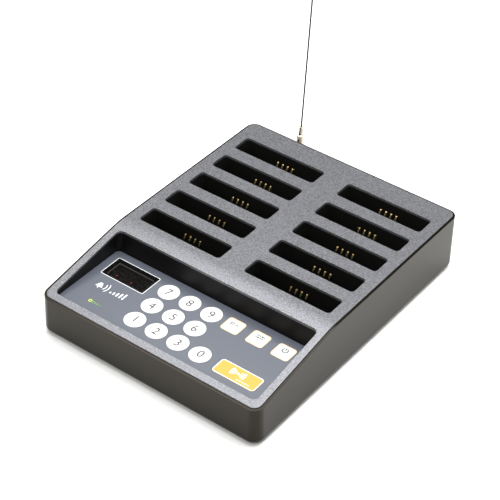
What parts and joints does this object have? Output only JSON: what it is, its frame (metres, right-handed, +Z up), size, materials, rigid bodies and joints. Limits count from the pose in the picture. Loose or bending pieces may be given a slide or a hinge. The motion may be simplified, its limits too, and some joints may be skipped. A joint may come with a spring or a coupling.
{
  "type": "paging transmitter base",
  "caption": "Low wedge-fronted paging transmitter base with charging slots for slim pagers, a sunken keypad with display, and a tilting whip aerial at the rear.",
  "frame": {"origin": "under the middle of the whole box, on the table", "axes": "+Z up, -Y to the person at the keypad, +X to their right"},
  "size_m": [0.159, 0.2202, 0.2093],
  "materials": {
    "silver_cover": "silver paint over a fine spark texture",
    "black_case": "fine satin grain",
    "black_base": "fine satin grain",
    "black_insert": "satin",
    "gloss_black": "polished",
    "overlay_film": "printed film, slightly glossy",
    "window": "smoked clear",
    "display_black": "dark filter face",
    "circuit_board": "solder mask",
    "dome_steel": "bright",
    "chip_black": "moulded",
    "ferrite_grey": "sintered",
    "shield_tin": "tinned",
    "ribbon_grey": "flat cable",
    "flex_amber": "flexible circuit",
    "nickel": "nickel plate",
    "pin_steel": "plain",
    "whip_black": "thin black coating on spring steel",
    "lead_black": "sheath",
    "lead_red": "sheath",
    "socket_black": "moulded",
    "foot_rubber": "matt",
    "screw_steel": "zinc plate",
    "contact_gold": "gold flash on spring bronze",
    "key_white": "smooth",
    "key_orange": "smooth"
  },
  "bodies": {
    "base": {"face_plate": "silver_cover", "upper_case": "black_case", "lower_case": "black_base", "keypad_overlay": "overlay_film", "display_window": "window", "display_module": "display_black", "keypad_board": "circuit_board", "key_domes": "dome_steel", "main_board": "circuit_board", "keypad_tub": "gloss_black", "charge_converter": "ferrite_grey", "radio_module": "shield_tin", "buzzer": "chip_black", "ribbon_cable": "ribbon_grey", "charge_bus": "flex_amber", "antenna_jack": "nickel", "jack_nut": "nickel", "coax_lead": "lead_black", "power_leads": "lead_red", "dc_inlet": "socket_black", "feet": "foot_rubber", "case_screws": "screw_steel", "board_screws": "screw_steel", "contact_board_1": "circuit_board", "slot_insert_1": "black_insert", "contact_board_2": "circuit_board", "slot_insert_2": "black_insert", "contact_board_3": "circuit_board", "slot_insert_3": "black_insert", "contact_board_4": "circuit_board", "slot_insert_4": "black_insert", "contact_board_5": "circuit_board", "slot_insert_5": "black_insert"},
    "aerial_swivel": {"antenna_swivel": "nickel", "antenna_pin": "pin_steel"},
    "aerial_whip": {"antenna_whip": "whip_black"},
    "key_0": {"key_0": "key_white"},
    "key_1": {"key_1": "key_white"},
    "key_2": {"key_2": "key_white"},
    "key_3": {"key_3": "key_white"},
    "key_4": {"key_4": "key_white"},
    "key_5": {"key_5": "key_white"},
    "key_6": {"key_6": "key_white"},
    "key_7": {"key_7": "key_white"},
    "key_8": {"key_8": "key_white"},
    "key_9": {"key_9": "key_white"},
    "key_mode": {"key_mode": "key_white"},
    "key_setup": {"key_setup": "key_white"},
    "key_power": {"key_power": "key_white"},
    "key_send": {"key_send": "key_orange"},
    "contacts_left_1": {"contacts_left_1": "contact_gold"},
    "contacts_left_2": {"contacts_left_2": "contact_gold"},
    "contacts_left_3": {"contacts_left_3": "contact_gold"},
    "contacts_left_4": {"contacts_left_4": "contact_gold"},
    "contacts_left_5": {"contacts_left_5": "contact_gold"},
    "contacts_right_1": {"contacts_right_1": "contact_gold"},
    "contacts_right_2": {"contacts_right_2": "contact_gold"},
    "contacts_right_3": {"contacts_right_3": "contact_gold"},
    "contacts_right_4": {"contacts_right_4": "contact_gold"},
    "contacts_right_5": {"contacts_right_5": "contact_gold"}
  },
  "joints": [
    {"name": "aerial_turn", "type": "hinge", "parent": "base", "child": "aerial_swivel", "pos_m": [-0.0439, 0.10005, 0.027], "axis": [0, 1, 0], "range_deg": [-90, 90]},
    {"name": "aerial_tilt", "type": "hinge", "parent": "aerial_swivel", "child": "aerial_whip", "pos_m": [-0.0439, 0.10005, 0.0386], "axis": [1, 0, 0], "range_deg": [-85, 3.1]},
    {"name": "key_0_press", "type": "slide", "parent": "base", "child": "key_0", "axis": [0, 0, -1], "range_m": [0, 0.00045], "stiffness_N_per_m": 3500},
    {"name": "key_1_press", "type": "slide", "parent": "base", "child": "key_1", "axis": [0, 0, -1], "range_m": [0, 0.00045], "stiffness_N_per_m": 3500},
    {"name": "key_2_press", "type": "slide", "parent": "base", "child": "key_2", "axis": [0, 0, -1], "range_m": [0, 0.00045], "stiffness_N_per_m": 3500},
    {"name": "key_3_press", "type": "slide", "parent": "base", "child": "key_3", "axis": [0, 0, -1], "range_m": [0, 0.00045], "stiffness_N_per_m": 3500},
    {"name": "key_4_press", "type": "slide", "parent": "base", "child": "key_4", "axis": [0, 0, -1], "range_m": [0, 0.00045], "stiffness_N_per_m": 3500},
    {"name": "key_5_press", "type": "slide", "parent": "base", "child": "key_5", "axis": [0, 0, -1], "range_m": [0, 0.00045], "stiffness_N_per_m": 3500},
    {"name": "key_6_press", "type": "slide", "parent": "base", "child": "key_6", "axis": [0, 0, -1], "range_m": [0, 0.00045], "stiffness_N_per_m": 3500},
    {"name": "key_7_press", "type": "slide", "parent": "base", "child": "key_7", "axis": [0, 0, -1], "range_m": [0, 0.00045], "stiffness_N_per_m": 3500},
    {"name": "key_8_press", "type": "slide", "parent": "base", "child": "key_8", "axis": [0, 0, -1], "range_m": [0, 0.00045], "stiffness_N_per_m": 3500},
    {"name": "key_9_press", "type": "slide", "parent": "base", "child": "key_9", "axis": [0, 0, -1], "range_m": [0, 0.00045], "stiffness_N_per_m": 3500},
    {"name": "key_mode_press", "type": "slide", "parent": "base", "child": "key_mode", "axis": [0, 0, -1], "range_m": [0, 0.00045], "stiffness_N_per_m": 3500},
    {"name": "key_setup_press", "type": "slide", "parent": "base", "child": "key_setup", "axis": [0, 0, -1], "range_m": [0, 0.00045], "stiffness_N_per_m": 3500},
    {"name": "key_power_press", "type": "slide", "parent": "base", "child": "key_power", "axis": [0, 0, -1], "range_m": [0, 0.00045], "stiffness_N_per_m": 3500},
    {"name": "key_send_press", "type": "slide", "parent": "base", "child": "key_send", "axis": [0, 0, -1], "range_m": [0, 0.00045], "stiffness_N_per_m": 3500},
    {"name": "contacts_left_1_flex", "type": "hinge", "parent": "base", "child": "contacts_left_1", "pos_m": [-0.0395, 0.08195, 0.0202], "axis": [-1, 0, 0], "range_deg": [0, 11], "stiffness_Nm_per_rad": 0.14},
    {"name": "contacts_left_2_flex", "type": "hinge", "parent": "base", "child": "contacts_left_2", "pos_m": [-0.0395, 0.05829, 0.0202], "axis": [-1, 0, 0], "range_deg": [0, 11], "stiffness_Nm_per_rad": 0.14},
    {"name": "contacts_left_3_flex", "type": "hinge", "parent": "base", "child": "contacts_left_3", "pos_m": [-0.0395, 0.03463, 0.0202], "axis": [-1, 0, 0], "range_deg": [0, 11], "stiffness_Nm_per_rad": 0.14},
    {"name": "contacts_left_4_flex", "type": "hinge", "parent": "base", "child": "contacts_left_4", "pos_m": [-0.0395, 0.01097, 0.0202], "axis": [-1, 0, 0], "range_deg": [0, 11], "stiffness_Nm_per_rad": 0.14},
    {"name": "contacts_left_5_flex", "type": "hinge", "parent": "base", "child": "contacts_left_5", "pos_m": [-0.0395, -0.01269, 0.0202], "axis": [-1, 0, 0], "range_deg": [0, 11], "stiffness_Nm_per_rad": 0.14},
    {"name": "contacts_right_1_flex", "type": "hinge", "parent": "base", "child": "contacts_right_1", "pos_m": [0.0395, 0.08195, 0.0202], "axis": [-1, 0, 0], "range_deg": [0, 11], "stiffness_Nm_per_rad": 0.14},
    {"name": "contacts_right_2_flex", "type": "hinge", "parent": "base", "child": "contacts_right_2", "pos_m": [0.0395, 0.05829, 0.0202], "axis": [-1, 0, 0], "range_deg": [0, 11], "stiffness_Nm_per_rad": 0.14},
    {"name": "contacts_right_3_flex", "type": "hinge", "parent": "base", "child": "contacts_right_3", "pos_m": [0.0395, 0.03463, 0.0202], "axis": [-1, 0, 0], "range_deg": [0, 11], "stiffness_Nm_per_rad": 0.14},
    {"name": "contacts_right_4_flex", "type": "hinge", "parent": "base", "child": "contacts_right_4", "pos_m": [0.0395, 0.01097, 0.0202], "axis": [-1, 0, 0], "range_deg": [0, 11], "stiffness_Nm_per_rad": 0.14},
    {"name": "contacts_right_5_flex", "type": "hinge", "parent": "base", "child": "contacts_right_5", "pos_m": [0.0395, -0.01269, 0.0202], "axis": [-1, 0, 0], "range_deg": [0, 11], "stiffness_Nm_per_rad": 0.14}
  ]
}
